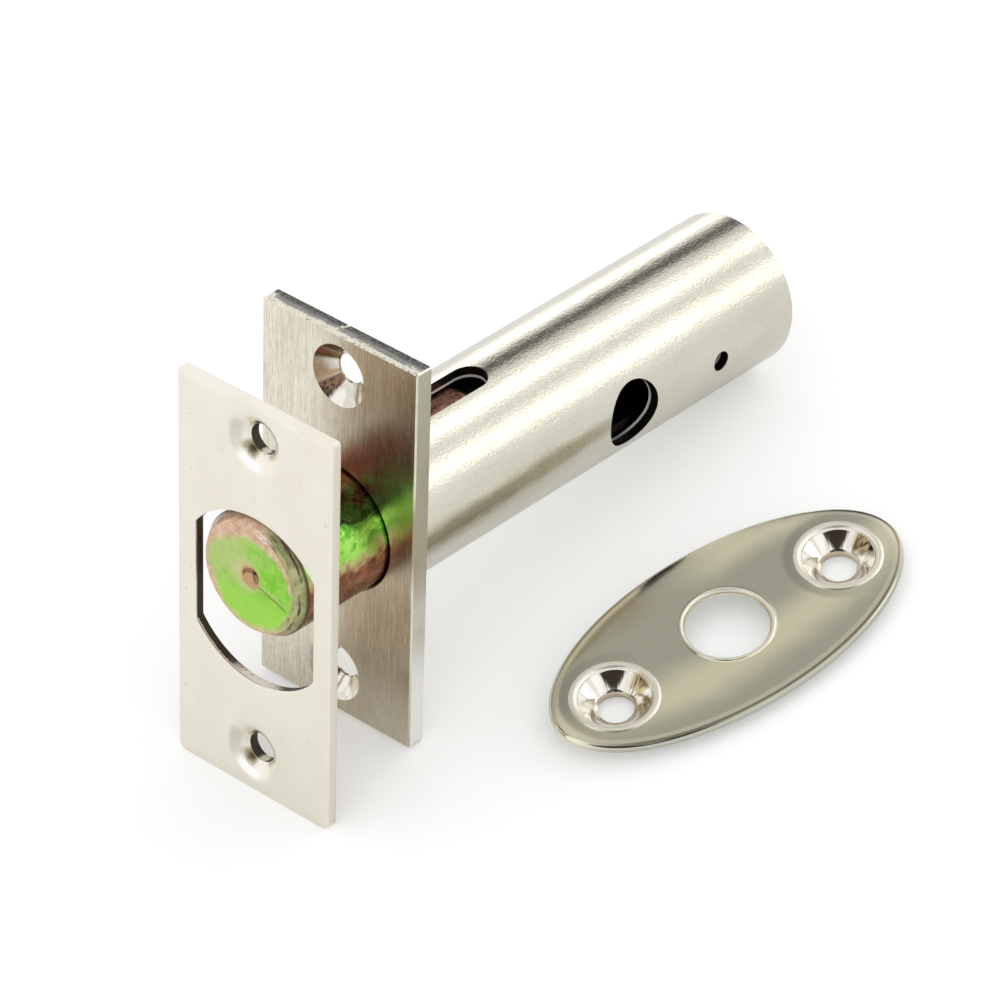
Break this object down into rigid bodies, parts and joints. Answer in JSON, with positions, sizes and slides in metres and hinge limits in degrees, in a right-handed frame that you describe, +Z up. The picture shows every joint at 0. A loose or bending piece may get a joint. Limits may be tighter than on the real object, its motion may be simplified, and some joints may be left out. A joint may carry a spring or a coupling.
{
  "type": "door bolt",
  "caption": "Mortice rack door bolt: round bolt thrown from a tube with a faceplate, with its strike plate and an oval key escutcheon.",
  "frame": {"origin": "middle of the faceplate's back face, on the bolt's axis", "axes": "-Y along the bolt, out of the door's edge; +Z up the faceplate; +X towards the side with the key hole"},
  "size_m": [0.0459, 0.0692, 0.0451],
  "materials": {
    "brushed_nickel": "nickel plate, brushed up and down",
    "plated_tube": "nickel plated drawn tube, fine grain along its length",
    "passivated_steel": "yellow passivated zinc plate, green and pink tints",
    "bare_steel": "bare spring steel",
    "satin_nickel": "satin nickel plate",
    "polished_nickel": "polished nickel plate, slightly warm"
  },
  "bodies": {
    "case": {"faceplate": "brushed_nickel", "case_tube": "plated_tube", "rear_plug": "plated_tube", "strike_plate": "satin_nickel", "escutcheon": "polished_nickel"},
    "bolt": {"bolt": "passivated_steel", "guide_peg": "bare_steel", "friction_spring": "bare_steel"}
  },
  "joints": [
    {"name": "bolt_throw", "type": "slide", "parent": "case", "child": "bolt", "axis": [0, -1, 0], "range_m": [-0.01155, 0]}
  ]
}
